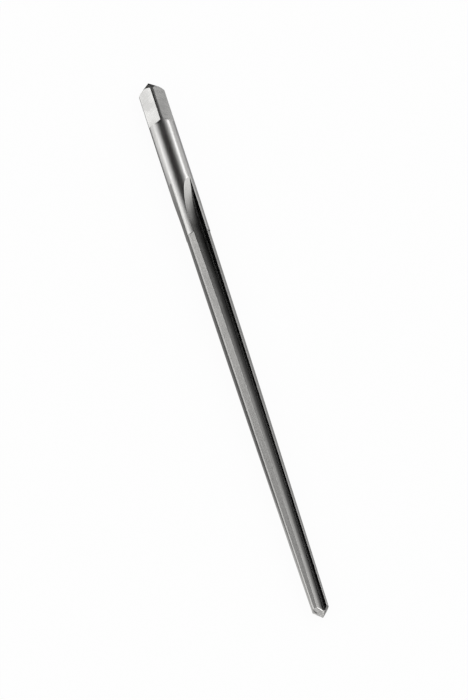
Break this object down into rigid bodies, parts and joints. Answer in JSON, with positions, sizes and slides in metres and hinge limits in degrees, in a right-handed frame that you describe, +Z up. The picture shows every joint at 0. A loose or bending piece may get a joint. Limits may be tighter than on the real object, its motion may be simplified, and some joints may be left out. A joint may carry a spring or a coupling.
{
  "type": "taper reamer",
  "caption": "Slender hand reamer with a gentle taper, straight flutes, a pointed tip, a round shank and a driving square with a pointed end.",
  "frame": {"origin": "centre of the tool's footprint, on the surface that it lies on", "axes": "+X along the tool from the driving square to the cutting tip, +Z up; the tool's axis drops 0.69 degrees to the tip, as the tool lies at rest"},
  "size_m": [0.0908, 0.004, 0.0042],
  "materials": {
    "ground_steel": "ground high speed steel: bright round shank, satin lands and square, darker flutes"
  },
  "bodies": {
    "root": {"taper_reamer": "ground_steel"}
  },
  "joints": []
}
